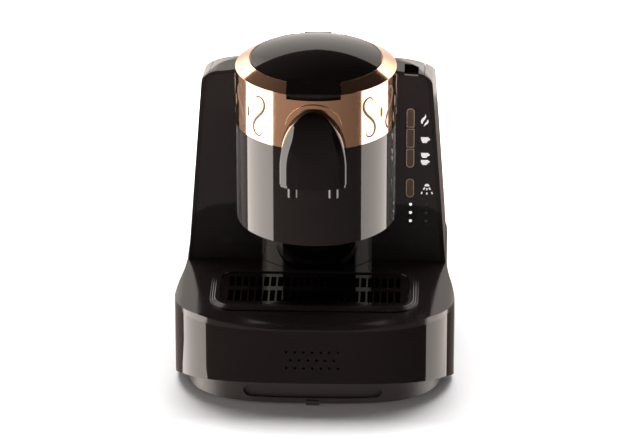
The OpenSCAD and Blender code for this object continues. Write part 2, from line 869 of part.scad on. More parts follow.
// Frame that carries the head: two arms on a plate against the wall in front of the tank
module head_bracket() {
  y1 = tank_front - bay_gap - bay_wall;
  color([0.35, 0.35, 0.36]) difference() {
    union() {
      for (z = [head_z + arm_h, band_z - 2 * arm_h]) translate([-arm_hw, head_y + head_r / 2, z])
        cube([2 * arm_hw, y1 - head_y - head_r / 2, arm_h]);
      translate([-arm_hw, y1 - arm_plate, head_z + arm_h]) cube([2 * arm_hw, arm_plate, head_h - 2 * arm_h]);
    }
    head_disc(head_r + pin_fit, 0, 2 * band_top);
  }
}

// ---------------------------------------------------------------- brew head

module column_shell() {
  color([0.13, 0.12, 0.12]) difference() {
    union() {
      head_tube(head_r, shell_in, head_z, band_z);
      head_tube(sleeve_r - 0.2, sleeve_in, band_z - 2 * wall, column_top);
      head_tube(shell_in + 1, sleeve_in, band_z - 2 * wall, band_z);
      head_tube(sleeve_in + 1, pot_r + pot_t + 1, column_top - wall, column_top);
    }
    rod_y(head_y - head_r - cut, head_y - head_r + 8, 0, duct_z, duct_r + 1);
    translate([-tab_w / 2 - gap, head_y - head_r - 5, band_top - tab_gap_h]) cube([tab_w + 2 * gap, 6, 20]);
    hinge_room(0, slot_z, 10);
  }
}

module head_floor() {
  color([0.13, 0.12, 0.12]) difference() {
    head_disc(shell_in - 0.2, head_z, head_z + wall);
    head_screw_places() translate([0, 0, head_z - cut]) cylinder(h = wall + 2 * cut, r = screw_r + pin_fit);
  }
}

module head_screw_places() {
  for (a = [190:80:350]) translate([0, head_y, 0]) rotate(a) translate([shell_in - 8, 0, 0]) children();
}

module head_screws() {
  color("silver") head_screw_places() {
    translate([0, 0, head_z - 1.2]) cylinder(h = 1.2, r = 2 * screw_r);
    translate([0, 0, head_z]) cylinder(h = 10, r = screw_r);
  }
}

// Front outline of the spout: a half ellipse on a straight foot
function arch_points(hw, top, low, straight) = concat(
  [[-hw, low], [hw, low]],
  [for (i = [0:24]) let (t = 180 * i / 24) [hw * cos(t), low + straight + (top - low - straight) * sin(t)]]
);

module gold_band() {
  color([0.75, 0.56, 0.36]) difference() {
    head_tube(band_r, sleeve_r, band_z, band_top);
    front_prism(head_y - 2 * band_r, head_y)
      polygon(arch_points(spout_hw + 0.2, spout_top + 0.2, spout_z, spout_straight_h));
    translate([-tab_w / 2 - gap, head_y - 2 * band_r, band_top - tab_gap_h])
      cube([tab_w + 2 * gap, band_r * 1.5, 20]);
    hinge_room(0, slot_z, 10);
  }
}

// Raised gold arch around the top of the spout
module spout_collar() {
  color([0.75, 0.56, 0.36]) difference() {
    intersection() {
      front_prism(head_y - band_r - 2, head_y)
        polygon(arch_points(collar_hw, spout_top + collar_w, spout_z, collar_z - spout_z));
      head_tube(band_r + collar_t, band_r + 0.1, band_top - collar_low, band_top - tab_gap_h - 1);
    }
    front_prism(head_y - 2 * band_r, head_y)
      polygon(arch_points(spout_hw + 0.2, spout_top + 0.2, spout_z, spout_straight_h));
  }
}

module chamfer_ring() {
  color([0.82, 0.63, 0.43]) difference() {
    translate([0, head_y, 0]) rotate_extrude() polygon([
      [band_r, band_top], [ring_in, rim_z], [ring_in, ledge_z], [ring_in - 2.6, ledge_z],
      [ring_in - 2.6, ledge_z - 1.6], [ring_in + 1, ledge_z - 1.6], [sleeve_r, band_top]
    ]);
    difference() {
      translate([-tab_w / 2 - gap, head_y - 2 * band_r, band_top - cut])
        cube([tab_w + 2 * gap, 2 * band_r - dome_r * 0.85, 20]);
      head_disc(ring_in + 1.2, 0, ledge_z);
    }
    hinge_room(3, band_top - cut, 14);
  }
}

// Steel pot hanging by its flange on the top of the head shell
module brew_pot() {
  ro = pot_r + pot_t;
  color([0.78, 0.78, 0.78]) difference() {
    translate([0, head_y, 0]) rotate_extrude() polygon(concat(
      [[outlet_r, pot_floor - pot_t]],
      [for (i = [0:8]) let (t = -90 + 90 * i / 8)
        [ro - pot_fillet + pot_fillet * cos(t), pot_floor - pot_t + pot_fillet + pot_fillet * sin(t)]],
      [[ro, flange_z], [sleeve_in + 1.5, flange_z], [sleeve_in + 1.5, flange_z + pot_t],
       [pot_r, flange_z + pot_t]],
      [for (i = [8:-1:0]) let (t = -90 + 90 * i / 8, r = pot_fillet - pot_t)
        [pot_r - r + r * cos(t), pot_floor + r + r * sin(t)]],
      [[outlet_r, pot_floor]]
    ));
    hinge_room(seat, flange_z - cut, 2 * lug_r);
  }
}

// Room for the lid hinge at the rear of the head, from depth back of its pin
module hinge_room(extra, z0, back) {
  translate([-hinge_slot / 2 - extra, hinge_y - back, z0]) cube([hinge_slot + 2 * extra, back + 30, 40]);
}

module heater_plate() {
  color([0.6, 0.6, 0.6]) difference() {
    head_disc(heater_r - pot_fillet / 2, heater_z, heater_z + heater_t);
    head_disc(outlet_r + 4, heater_z - cut, heater_z + heater_t + cut);
    translate([0, head_y + 24, heater_z - cut]) cylinder(h = heater_t + 2 * cut, r = 4.2);
  }
}

module temperature_sensor() {
  color([0.85, 0.7, 0.3]) {
    rod_z(heater_z - 8, pot_floor - pot_t - seat / 2, 0, head_y + 24, 4);
    rod_z(heater_z - 10, heater_z - 8, 0, head_y + 24, 6);
  }
}

// Foam sensor in a bracket at the left of the pot
module foam_sensor() {
  color([0.1, 0.1, 0.12]) translate([-pot_r - pot_t - 9 - seat, head_y - 8, flange_z - wall - 22])
    cube([9, 16, 22]);
}

module outlet_valve() {
  color([0.3, 0.3, 0.32]) {
    difference() {
      rod_z(valve_low, pot_floor - pot_t, 0, head_y, outlet_r + 3);
      rod_z(duct_z, pot_floor, 0, head_y, outlet_r - 1);
    }
    difference() {
      translate([-valve_w / 2, head_y - valve_w / 2, valve_low])
        cube([valve_w, valve_w, duct_z + duct_r + 1 - valve_low]);
      rod_z(valve_low + cut, duct_z + 20, 0, head_y, outlet_r + 2.5);
      rod_y(head_y - valve_w, head_y, 0, duct_z, duct_bore);
    }
    rod_z(valve_low - 20, valve_low, 0, head_y, 9);
  }
}

// Duct from the valve to the spout, with a slimmer cross tube over the nozzles
module coffee_duct() {
  end = nozzle_gap / 2 + duct_r;
  color([0.2, 0.2, 0.2]) difference() {
    union() {
      rod_y(nozzle_y, head_y - valve_w / 2, 0, duct_z, duct_r);
      rod_x(-end, end, nozzle_y, duct_z, cross_r);
    }
    rod_y(nozzle_y, head_y, 0, duct_z, duct_bore - 0.3);
    rod_x(-nozzle_gap / 2, nozzle_gap / 2, nozzle_y, duct_z, duct_bore);
    for (s = [-1, 1]) rod_z(duct_z - 2 * duct_r, duct_z, s * nozzle_gap / 2, nozzle_y, duct_bore - 0.3);
  }
}

// Form of the spout housing, moved in by inset
module spout_form(inset) {
  top = spout_top - inset;
  y_face = spout_front + inset;
  y_back = head_y;
  intersection() {
    front_prism(spout_front - cut, y_back)
      polygon(arch_points(spout_hw - inset, top, spout_z, spout_straight_h));
    side_prism(4 * spout_hw) polygon(concat(
      [[y_face + 1.5, spout_z - cut], [y_face, spout_z + 12]],
      [for (i = [1:10]) let (t = i / 10)
        [y_face + (head_y - head_r - spout_front + 1) * (1 - cos(90 * t)) * 1.0,
         spout_z + 12 + (top - spout_z - 12) * sin(90 * t)]],
      [[y_back, top], [y_back, spout_z - cut]]));
    translate([0, head_y, spout_z - cut]) cylinder(h = spout_h + 2 * cut, r = head_r + spout_out - inset);
  }
}

module spout_housing() {
  color([0.1, 0.09, 0.095]) difference() {
    spout_form(0);
    intersection() {
      spout_form(spout_wall);
      translate([-spout_hw, head_y - 2 * head_r, spout_z - cut]) cube([2 * spout_hw, 2 * head_r, spout_h]);
    }
    head_disc(head_r + 0.1, 0, band_z);
    head_disc(sleeve_r + 0.1, 0, 2 * band_top);
  }
}

module spout_floor() {
  color([0.08, 0.075, 0.08]) difference() {
    intersection() {
      spout_form(spout_wall + 0.1);
      translate([-spout_hw, head_y - 2 * head_r, floor_z]) cube([2 * spout_hw, 2 * head_r, floor_t]);
    }
    head_disc(head_r + seat, 0, 2 * band_top);
    for (s = [-1, 1]) rod_z(0, band_top, s * nozzle_gap / 2, nozzle_y, nozzle_r - 0.8);
  }
}

module nozzles() {
  color([0.25, 0.25, 0.26]) for (s = [-1, 1]) difference() {
    union() {
      rod_z(spout_z - nozzle_out, floor_z, s * nozzle_gap / 2, nozzle_y, nozzle_r);
      rod_z(floor_z, duct_z - cross_r - 0.1, s * nozzle_gap / 2, nozzle_y, nozzle_r - 0.9);
    }
    rod_z(spout_z - nozzle_out - cut, duct_z, s * nozzle_gap / 2, nozzle_y, nozzle_bore);
  }
}

// ---------------------------------------------------------------- brewing lid

module hinge_bracket() {
  color([0.15, 0.14, 0.14]) difference() {
    union() {
      for (s = [-1, 1]) {
        x = s > 0 ? lug_w / 2 + seat : -lug_w / 2 - seat - ear_t;
        rod_x(x, x + ear_t, hinge_y, hinge_z, lug_r);
        translate([x, hinge_y - lug_r, slot_z]) cube([ear_t, 2 * lug_r, hinge_z - slot_z]);
      }
      translate([-hinge_slot / 2 + seat, hinge_y - lug_r, slot_z])
        cube([hinge_slot - 2 * seat, 2 * lug_r, 3]);
    }
    rod_x(-hinge_slot, hinge_slot, hinge_y, hinge_z, lid_pin_r);
    head_tube(3 * band_r, sleeve_r - 0.4, 0, 2 * band_top);
  }
}

module lid_hinge_pin() {
  half = lug_w / 2 + seat + ear_t - 0.2;
  color("silver") rod_x(-half, half, hinge_y, hinge_z, lid_pin_r);
}

module lid_dome() {
  rim_low = ledge_z + seat;
  color([0.1, 0.09, 0.095]) {
    difference() {
      intersection() {
        translate([0, head_y, rim_z + dome_h - dome_big_r]) sphere(r = dome_big_r, $fn = 200);
        head_disc(dome_r, rim_low, rim_z + dome_h);
      }
      intersection() {
        translate([0, head_y, rim_z + dome_h - dome_big_r]) sphere(r = dome_big_r - dome_t, $fn = 200);
        head_disc(dome_r - dome_t, rim_low - cut, rim_z + dome_h);
      }
    }
    latch_tab();
    hinge_lug();
  }
}

// Flat-fronted tab that runs from the dome down over the chamfer ring
module latch_tab() {
  difference() {
    intersection() {
      side_prism(tab_w) polygon([
        [tab_y, band_top + 0.3], [tab_y, band_top + 2.2], [head_y - dome_r + 6, rim_z + 1.6],
        [head_y - dome_r + 6, ledge_z + seat], [head_y - ring_in - 1.5, ledge_z + seat],
        [head_y - ring_in - 1.5, ledge_z - 1.4], [tab_y + 3.5, band_top + 0.3]
      ]);
      translate([-tab_w / 2, tab_y, 0]) cube([tab_w, band_r, 2 * band_top]);
    }
    head_disc(dome_r - dome_t / 2, 0, ledge_z + seat);
    translate([0, head_y, rim_z + dome_h - dome_big_r]) sphere(r = dome_big_r - dome_t / 2, $fn = 200);
  }
}

module hinge_lug() {
  difference() {
    union() {
      rod_x(-lug_w / 2, lug_w / 2, hinge_y, hinge_z, lug_r - 0.4);
      translate([-lug_w / 2, head_y + dome_r - 5.4, ledge_z + seat - 2.4])
        cube([lug_w, hinge_y - head_y - dome_r + 5.4, 2.4]);
      translate([-lug_w / 2, head_y + dome_r - 5.4, ledge_z + seat - 1]) cube([lug_w, 3.4, 1.6]);
      translate([-lug_w / 2, hinge_y - 3, hinge_z]) cube([lug_w, 3, ledge_z + seat - 2.4 - hinge_z + 1]);
    }
    rod_x(-lug_w, lug_w, hinge_y, hinge_z, lid_pin_r + pin_fit);
    head_disc(liner_r + seat, 0, 2 * band_top);
  }
}

module lid_liner() {
  color([0.2, 0.2, 0.2]) intersection() {
    union() {
      head_tube(liner_r, pot_r, liner_z, rim_z + dome_h);
      head_disc(pot_r + 1, liner_z, liner_z + 2);
    }
    translate([0, head_y, rim_z + dome_h - dome_big_r]) sphere(r = dome_big_r - dome_t - pin_fit, $fn = 200);
  }
}

module lid_seal() {
  color([0.45, 0.45, 0.45]) head_tube(liner_r - 1.2, pot_r, flange_z + pot_t + seat, liner_z);
}

// ---------------------------------------------------------------- drip tray

module tray_step(inset, z0, z1) {
  round_slab(tray_w - 2 * inset, tray_d - 2 * inset, tray_corner - inset, z0, z1, tray_y);
}

module drip_tray() {
  low = tray_rest - basin_h;
  color([0.12, 0.11, 0.115]) difference() {
    union() {
      tray_step(0, tray_rest, tray_rest + 1.2);
      tray_step(2, tray_rest, tray_rest + flange_h - 0.6);
      tray_step(4, tray_rest, tray_rest + flange_h);
      round_slab(basin_w, basin_d, basin_corner, low, tray_rest + 1, tray_y);
    }
    round_slab(basin_w - 2 * basin_wall, basin_d - 2 * basin_wall, basin_corner - basin_wall,
               grille_z - gap, tray_rest + 2 * flange_h, tray_y);
    round_slab(basin_w - 2 * basin_wall - 5, basin_d - 2 * basin_wall - 5, basin_corner - basin_wall - 2.5,
               low + basin_wall, tray_rest + 1, tray_y);
  }
}

module drip_grille() {
  front = tray_y - grille_d / 2;
  color([0.09, 0.085, 0.09]) difference() {
    round_slab(grille_w, grille_d, grille_corner, grille_z, grille_z + grille_t, tray_y);
    for (i = [0:slot_count - 1]) {
      x = (i - (slot_count - 1) / 2) * slot_pitch - slot_w / 2;
      translate([x, front + slot_border, grille_z - cut]) cube([slot_w, front_slot_l, 2 * grille_t + cut]);
      translate([x, front + 2 * slot_border + front_slot_l, grille_z - cut])
        cube([slot_w, rear_slot_l, 2 * grille_t + cut]);
    }
  }
}

// ---------------------------------------------------------------- controls

module control_board() {
  z0 = lamp_top - 3 * lamp_pitch;
  color([0.1, 0.32, 0.18]) translate([button_x - 9, board_y, z0]) cube([25, board_t, button_top + 4 - z0]);
  color([0.15, 0.15, 0.15]) for (z = [z0 + 3, button_top])
    rod_y(panel_y + panel_t, board_y, button_x - 7, z, 2);
}

module button_switches() {
  color([0.2, 0.2, 0.2]) for (i = [0:3])
    translate([button_x - 3, board_y - switch_d, button_z(i) - 3]) cube([6, switch_d, 6]);
}

module indicator_pipes() {
  color([0.85, 0.85, 0.85]) for (x = lamp_xs, i = [0:2])
    rod_y(panel_y - 0.1, board_y, x, lamp_top - i * lamp_pitch, lamp_r - 0.1);
}

// One push button: a face in the panel slot, a lip behind it and a stem to its switch
module push_button(i) {
  y_back = panel_y + panel_t + seat;
  color([0.36, 0.26, 0.2]) {
    button_bar(i, panel_y - button_proud, y_back, 0);
    translate([button_x, 0, button_z(i)]) {
      translate([-button_w / 2 - button_lip, y_back, -button_h / 2 + 0.6])
        cube([button_w + 2 * button_lip, 1.6, button_h - 1.2]);
      rod_y(y_back + 1.6, board_y - switch_d - button_travel - seat / 2, 0, 0, 1.8);
    }
  }
}

module button_slow_brew() { push_button(0); }
module button_one_cup() { push_button(1); }
module button_two_cups() { push_button(2); }
module button_clean() { push_button(3); }

// ---------------------------------------------------------------- water tank

// Form of the tank, moved in by inset, with its top at the given depth below the outer surface
module tank_form(inset, top) {
  intersection() {
    translate([-tank_w / 2 + inset, tank_front + inset, tank_floor + inset])
      cube([tank_w - 2 * inset, base_d, band_top]);
    body_form(inset, top, panel_y, inset);
  }
}

module water_tank() {
  color([0.25, 0.24, 0.25, 0.6]) difference() {
    union() {
      difference() {
        tank_form(0, 0);
        tank_form(tank_wall, 1);
      }
      intersection() {
        body_form(0, 0);
        translate([-tank_w / 2, tank_hinge_y - rail_d, tank_hinge_z - rail_h])
          cube([tank_w, base_d, band_top]);
      }
    }
    difference() {
      top_layer(tank_top_gap, lid_w, tank_hinge_y + hinge_groove);
      tank_knuckles();
    }
    rod_z(tank_floor + 1, tank_floor + 2 * tank_wall, 0, valve_y, valve_r);
    rod_z(tank_floor - cut, tank_floor + 2 * tank_wall, 0, valve_y, valve_r - 3);
    rod_x(-tank_pin_hw, tank_pin_hw, tank_hinge_y, tank_hinge_z, tank_pin_r);
    rod_x(-barrel_hw - gap, barrel_hw + gap, tank_hinge_y, tank_hinge_z, knuckle_r + gap);
  }
}

// Two knuckles on the tank's rear rail, beside the lid's barrel
module tank_knuckles() {
  for (s = [-1, 1])
    rod_x(s * knuckle_x - knuckle_hw, s * knuckle_x + knuckle_hw, tank_hinge_y, tank_hinge_z, knuckle_r);
}

module tank_filter() {
  color([0.8, 0.8, 0.78]) difference() {
    rod_z(tank_floor + tank_wall, tank_floor + 14, 0, valve_y, valve_r + 4);
    rod_z(tank_floor, tank_floor + 12, 0, valve_y, valve_r + 2.4);
  }
}

module tank_lid() {
  color([0.2, 0.185, 0.19]) difference() {
    union() {
      intersection() {
        difference() {
          body_form(0, 0);
          body_form(-cut, cover_t, panel_y - cut, cover_t);
        }
        cover_zone(lid_w, lid_front, tank_hinge_y - 0.2);
      }
      rod_x(-barrel_hw, barrel_hw, tank_hinge_y, tank_hinge_z, knuckle_r);
      translate([-barrel_hw, tank_hinge_y - knuckle_r, tank_hinge_z])
        cube([2 * barrel_hw, knuckle_r, knuckle_r + 0.3]);
    }
    for (s = [-1, 1])
      rod_x(s * knuckle_x - knuckle_hw - seat, s * knuckle_x + knuckle_hw + seat, tank_hinge_y, tank_hinge_z,
            knuckle_r + gap);
    rod_x(-barrel_hw - cut, barrel_hw + cut, tank_hinge_y, tank_hinge_z, tank_pin_r + pin_fit);
  }
}

module tank_hinge_pin() {
  color("silver") rod_x(-tank_pin_hw, tank_pin_hw, tank_hinge_y, tank_hinge_z, tank_pin_r);
}

module tank_valve() {
  color([0.85, 0.85, 0.83]) {
    rod_z(tank_floor + 1, tank_floor + 3, 0, valve_y, valve_r - 0.6);
    rod_z(tank_floor - 4, tank_floor + 1, 0, valve_y, 2.5);
  }
}

// The spring's outer form as one thin sleeve
module valve_spring() {
  color("silver") difference() {
    rod_z(tank_floor + 3, tank_floor + 12, 0, valve_y, 4);
    rod_z(tank_floor + 3 - cut, tank_floor + 13, 0, valve_y, 3.2);
  }
}

// Socket under the tank that takes its valve
module tank_seat() {
  color([0.15, 0.14, 0.14]) difference() {
    union() {
      rod_z(housing_z - 9, housing_z, 0, valve_y, 6);
      rod_z(housing_z, tank_z - seat, 0, valve_y, 15);
    }
    rod_z(housing_z + 2, tank_z + cut, 0, valve_y, 10);
    rod_z(housing_z - 10, tank_z + cut, 0, valve_y, 3);
  }
}

// ---------------------------------------------------------------- hoses and wires

module suction_hose() {
  x1 = pump_x - pump_l / 2 - 12;
  color([0.85, 0.83, 0.78]) hose([
    [0, valve_y, housing_z - 9], [0, valve_y, pump_z], [x1 - 14, pump_y + 3, pump_z],
    [x1 - 0.9, pump_y, pump_z]
  ], hose_r, [40, 25, 0]);
}

module pressure_hose() {
  x0 = pump_x + pump_l / 2 + 10;
  y_end = head_y + sqrt(pow(head_r, 2) - pow(abs(riser_x) - hose_r, 2)) + seat;
  color([0.85, 0.83, 0.78]) hose([
    [x0 + 0.9, pump_y, pump_z], [x0 + 12, pump_y - 3, pump_z + 1], [x0 + 4, riser_y - 30, pump_z + 16],
    [riser_x, riser_y, seam_z - 12], [riser_x, riser_y, head_z + 52], [riser_x, riser_y - 5, head_z + 60],
    [riser_x, y_end, head_z + 60]
  ], hose_r);
}

module wire_loom() {
  color([0.1, 0.1, 0.1]) hose([
    [power_x, power_y - 12, power_z + board_t + 18], [power_x + 2, power_y - 16, power_z + 32],
    [loom_x, riser_y + 2, seam_z - 6], [loom_x + 1.3, riser_y + 3, head_z + 40],
    [loom_x, head_y + sqrt(pow(head_r, 2) - pow(abs(loom_x) - loom_r, 2)) + 2 * seat, head_z + 42]
  ], loom_r);
}

// ---------------------------------------------------------------- assembly

base_shell();
base_pan();
rubber_feet();
base_cover();
speaker();
power_board();
mains_inlet();
water_pump();
pump_mounts();
base_screws();
rear_housing();
front_panel();
top_cover_left();
top_cover_right();
pillar_cover();
head_bracket();
column_shell();
head_floor();
head_screws();
gold_band();
spout_collar();
chamfer_ring();
brew_pot();
heater_plate();
temperature_sensor();
foam_sensor();
outlet_valve();
coffee_duct();
spout_housing();
spout_floor();
nozzles();
hinge_bracket();
lid_hinge_pin();
lid_dome();
lid_liner();
lid_seal();
drip_tray();
drip_grille();
control_board();
button_switches();
indicator_pipes();
button_slow_brew();
button_one_cup();
button_two_cups();
button_clean();
tank_seat();
water_tank();
tank_filter();
tank_lid();
tank_hinge_pin();
tank_valve();
valve_spring();
suction_hose();
pressure_hose();
wire_loom();
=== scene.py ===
import json
import math
from collections import namedtuple

import bmesh
import bpy
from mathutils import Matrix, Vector

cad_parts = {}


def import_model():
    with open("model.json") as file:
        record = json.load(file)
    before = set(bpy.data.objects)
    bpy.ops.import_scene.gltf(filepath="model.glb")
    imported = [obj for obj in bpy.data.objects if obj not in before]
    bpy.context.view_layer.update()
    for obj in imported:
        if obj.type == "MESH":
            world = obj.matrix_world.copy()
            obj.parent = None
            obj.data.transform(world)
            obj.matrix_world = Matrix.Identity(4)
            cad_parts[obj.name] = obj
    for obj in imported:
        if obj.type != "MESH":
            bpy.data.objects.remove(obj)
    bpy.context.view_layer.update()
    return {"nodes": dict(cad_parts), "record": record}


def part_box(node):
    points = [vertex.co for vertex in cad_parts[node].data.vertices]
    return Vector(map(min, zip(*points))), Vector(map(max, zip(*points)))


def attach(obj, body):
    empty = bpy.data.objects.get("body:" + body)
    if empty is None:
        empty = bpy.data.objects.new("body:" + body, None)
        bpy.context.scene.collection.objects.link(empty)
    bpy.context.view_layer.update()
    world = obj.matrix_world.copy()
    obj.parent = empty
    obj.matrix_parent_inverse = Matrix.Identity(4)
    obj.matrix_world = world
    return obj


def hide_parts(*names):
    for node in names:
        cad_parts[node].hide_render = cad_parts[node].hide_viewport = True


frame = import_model()
scene = bpy.context.scene
MM = 0.001
WHITE = (1, 1, 1, 1)


# ------------------------------------------------------------ material nodes

NOISE_LOW, NOISE_HIGH = 0.3, 0.7    # most of a noise's values lie between these
DRIFT_DETAIL, GRAIN_DETAIL = 3.0, 2.0
GRAIN_DEPTH = 0.1 * MM


def node(tree, kind, **inputs):
    """A shader node with some of its inputs set; input names use _ for a space."""
    made = tree.nodes.new(kind)
    for name, value in inputs.items():
        made.inputs[name.replace("_", " ")].default_value = value
    return made


def calculate(tree, kind, operation, *sources):
    """The value that a Math or Vector Math node makes of its sources."""
    made = tree.nodes.new(kind)
    made.operation = operation
    for source, target in zip(sources, made.inputs):
        tree.links.new(source, target)
    return made.outputs["Value"]


def axis(tree, coords, name):
    """One of the three coordinates, by name."""
    made = tree.nodes.new("ShaderNodeSeparateXYZ")
    tree.links.new(coords, made.inputs[0])
    return made.outputs[name]


def ramp(tree, source, start, end, low, high):
    """Maps start..end of a value onto low..high, and holds it there beyond them."""
    made = node(tree, "ShaderNodeMapRange", From_Min=start, From_Max=end, To_Min=low, To_Max=high)
    tree.links.new(source, made.inputs["Value"])
    return made.outputs["Result"]


def noise(tree, stretch, scale, detail):
    """Noise in object space, finer along an axis by its number in stretch."""
    coords = tree.nodes.new("ShaderNodeTexCoord")
    mapping = node(tree, "ShaderNodeMapping", Scale=stretch)
    made = node(tree, "ShaderNodeTexNoise", Scale=scale, Detail=detail)
    tree.links.new(coords.outputs["Object"], mapping.inputs["Vector"])
    tree.links.new(mapping.outputs["Vector"], made.inputs["Vector"])
    return made.outputs["Fac"]


def spread(tree, source, low, high):
    """Maps the middle of a noise onto low..high."""
    return ramp(tree, source, NOISE_LOW, NOISE_HIGH, low, high)


def glow(shader, strength):
    """Gives a surface a white glow of its own."""
    shader.inputs["Emission Color"].default_value = WHITE
    shader.inputs["Emission Strength"].default_value = strength


def surface(name, base, rough, metal=0.0, tone=0.08, vary=0.15, grain=1500.0, bump=0.03,
            stretch=(1, 1, 1), drift=22.0):
    """Principled surface with a fine grain and a slow drift of tone and roughness."""
    material = bpy.data.materials.new(name)
    material.use_nodes = True
    tree = material.node_tree
    shader = tree.nodes["Principled BSDF"]
    shader.inputs["Metallic"].default_value = metal
    slow = noise(tree, stretch, drift, DRIFT_DETAIL)
    fine = noise(tree, stretch, grain, GRAIN_DETAIL)
    mix = tree.nodes.new("ShaderNodeMix")
    mix.data_type = "RGBA"
    mix.inputs["A"].default_value = (*[c * (1 - tone) for c in base], 1)
    mix.inputs["B"].default_value = (*[min(1, c * (1 + tone)) for c in base], 1)
    tree.links.new(spread(tree, slow, low=0, high=1), mix.inputs["Factor"])
    tree.links.new(mix.outputs["Result"], shader.inputs["Base Color"])
    gloss = spread(tree, slow, low=rough * (1 - vary), high=rough * (1 + vary))
    tree.links.new(gloss, shader.inputs["Roughness"])
    relief = node(tree, "ShaderNodeBump", Strength=bump, Distance=GRAIN_DEPTH)
    tree.links.new(fine, relief.inputs["Height"])
    tree.links.new(relief.outputs["Normal"], shader.inputs["Normal"])
    return material, shader


# ------------------------------------------------------------ materials

def gloss_brown_black():
    return surface("gloss_brown_black", (0.0058, 0.0042, 0.0042), rough=0.05, bump=0.006)[0]


def gloss_black():
    return surface("gloss_black", (0.0016, 0.0012, 0.0012), rough=0.04, bump=0.005)[0]


def satin_brown_black():
    return surface("satin_brown_black", (0.010, 0.008, 0.008), rough=0.16, bump=0.03)[0]


def matte_black():
    return surface("matte_black", (0.012, 0.011, 0.011), rough=0.5, bump=0.15)[0]


def copper_gold():
    return surface("copper_gold", (0.80, 0.53, 0.35), rough=0.10, metal=1.0, tone=0.05, bump=0.01)[0]


def copper_brown():
    return surface("copper_brown", (0.110, 0.066, 0.040), rough=0.32, metal=0.25, bump=0.05)[0]


def steel():
    return surface("steel", (0.62, 0.61, 0.60), rough=0.27, metal=1.0, stretch=(1, 1, 18), bump=0.06)[0]


def aluminium():
    return surface("aluminium", (0.66, 0.66, 0.67), rough=0.38, metal=1.0, bump=0.10)[0]


def frame_steel():
    return surface("frame_steel", (0.26, 0.26, 0.27), rough=0.40, metal=1.0, bump=0.08)[0]


def brass():
    return surface("brass", (0.72, 0.52, 0.22), rough=0.30, metal=1.0, bump=0.05)[0]


def rubber():
    return surface("rubber", (0.016, 0.016, 0.016), rough=0.65, grain=2600.0, bump=0.30)[0]


def silicone():
    material, shader = surface("silicone", (0.62, 0.60, 0.54), rough=0.40, bump=0.05)
    shader.inputs["Subsurface Weight"].default_value = 0.25
    shader.inputs["Subsurface Scale"].default_value = 2 * MM
    return material


def grey_silicone():
    return surface("grey_silicone", (0.11, 0.11, 0.11), rough=0.5, bump=0.10)[0]


def circuit_board():
    return surface("circuit_board", (0.012, 0.09, 0.035), rough=0.35, tone=0.3, drift=160.0, bump=0.10)[0]


def white_lens():
    material, shader = surface("white_lens", (0.85, 0.85, 0.85), rough=0.18, tone=0.03, bump=0.01)
    glow(shader, 0.6)
    return material


def white_plastic():
    return surface("white_plastic", (0.78, 0.78, 0.76), rough=0.35, tone=0.03, bump=0.04)[0]


def smoke_plastic():
    material, shader = surface("smoke_plastic", (0.035, 0.030, 0.031), rough=0.09, bump=0.01)
    shader.inputs["Transmission Weight"].default_value = 0.55
    shader.inputs["IOR"].default_value = 1.49
    return material


def copper_edge():
    return surface("copper_edge", (0.62, 0.50, 0.39), rough=0.3, metal=0.3, bump=0.03)[0]


# Darker bronze for the flanks of the scroll strands: a painted shade, not the metal's own colour.
def bronze_painted_shade():
    return surface("bronze_painted_shade", (0.10, 0.065, 0.04), rough=0.45, metal=0.4, bump=0.03)[0]


def panel_black():
    return surface("panel_black", (0.014, 0.0125, 0.013), rough=0.05, bump=0.006)[0]


def wall_black():
    material, shader = surface("wall_black", (0.0030, 0.0020, 0.0020), rough=0.05, bump=0.006)
    shader.inputs["Specular IOR Level"].default_value = 0.38
    return material


def column_black():
    """The head's gloss with a faint haze that shows at grazing angles."""
    material, shader = surface("column_black", (0.0052, 0.0040, 0.0040), rough=0.05, bump=0.006)
    shader.inputs["Sheen Weight"].default_value = 0.22
    shader.inputs["Sheen Roughness"].default_value = 0.35
    return material


def pan_black():
    return surface("pan_black", (0.034, 0.029, 0.029), rough=0.42, bump=0.08)[0]


def unlit_lens():
    return surface("unlit_lens", (0.040, 0.037, 0.037), rough=0.25, bump=0.02)[0]


# White print with a faint painted glow of its own; the print is no lamp.
def print_white_painted_glow():
    material, shader = surface("print_white_painted_glow", (0.80, 0.79, 0.77), rough=0.45, tone=0.03, bump=0.04)
    glow(shader, 0.3)
    return material


MATERIALS = {make.__name__: make() for make in (
    gloss_brown_black, gloss_black, satin_brown_black, matte_black, copper_gold, copper_brown, steel,
    aluminium, frame_steel, brass, rubber, silicone, grey_silicone, circuit_board, white_lens,
    white_plastic, smoke_plastic)}
SLOTS = {part["node"]: part["material_slot"] for part in frame["record"]["subparts"]}


# ------------------------------------------------------------ mesh helpers

EDGE_ANGLE = 32
ROUND_MERGE, ROUND_FLAT = 0.004 * MM, math.radians(0.15)
WELD_MERGE, WELD_SMALLEST = 0.002 * MM, 0.001 * MM


def body_of(name):
    """The body that carries a CAD node."""
    bodies = frame["record"]["behaviour"]["bodies"]
    return next(body for body, members in bodies.items() if name in members)


def place(mesh, name, material, body):
    """Links a mesh as a piece of the object."""
    piece = bpy.data.objects.new(name, mesh)
    scene.collection.objects.link(piece)
    mesh.materials.clear()
    mesh.materials.append(material)
    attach(piece, body)
    return piece


def smooth(mesh, angle=EDGE_ANGLE):
    """Smooth shading that keeps edges above an angle sharp."""
    mesh.shade_smooth()
    mesh.set_sharp_from_angle(angle=math.radians(angle))


def soften(piece, width):
    """Rounds the edges of a piece over a small radius and keeps its flats flat."""
    bevel = piece.modifiers.new("edges", "BEVEL")
    bevel.width = width * MM
    bevel.segments = 3
    bevel.limit_method = "ANGLE"
    bevel.angle_limit = math.radians(EDGE_ANGLE)
    bevel.use_clamp_overlap = True
    bevel.miter_outer = "MITER_ARC"
    weights = piece.modifiers.new("flats", "WEIGHTED_NORMAL")
    weights.keep_sharp = True


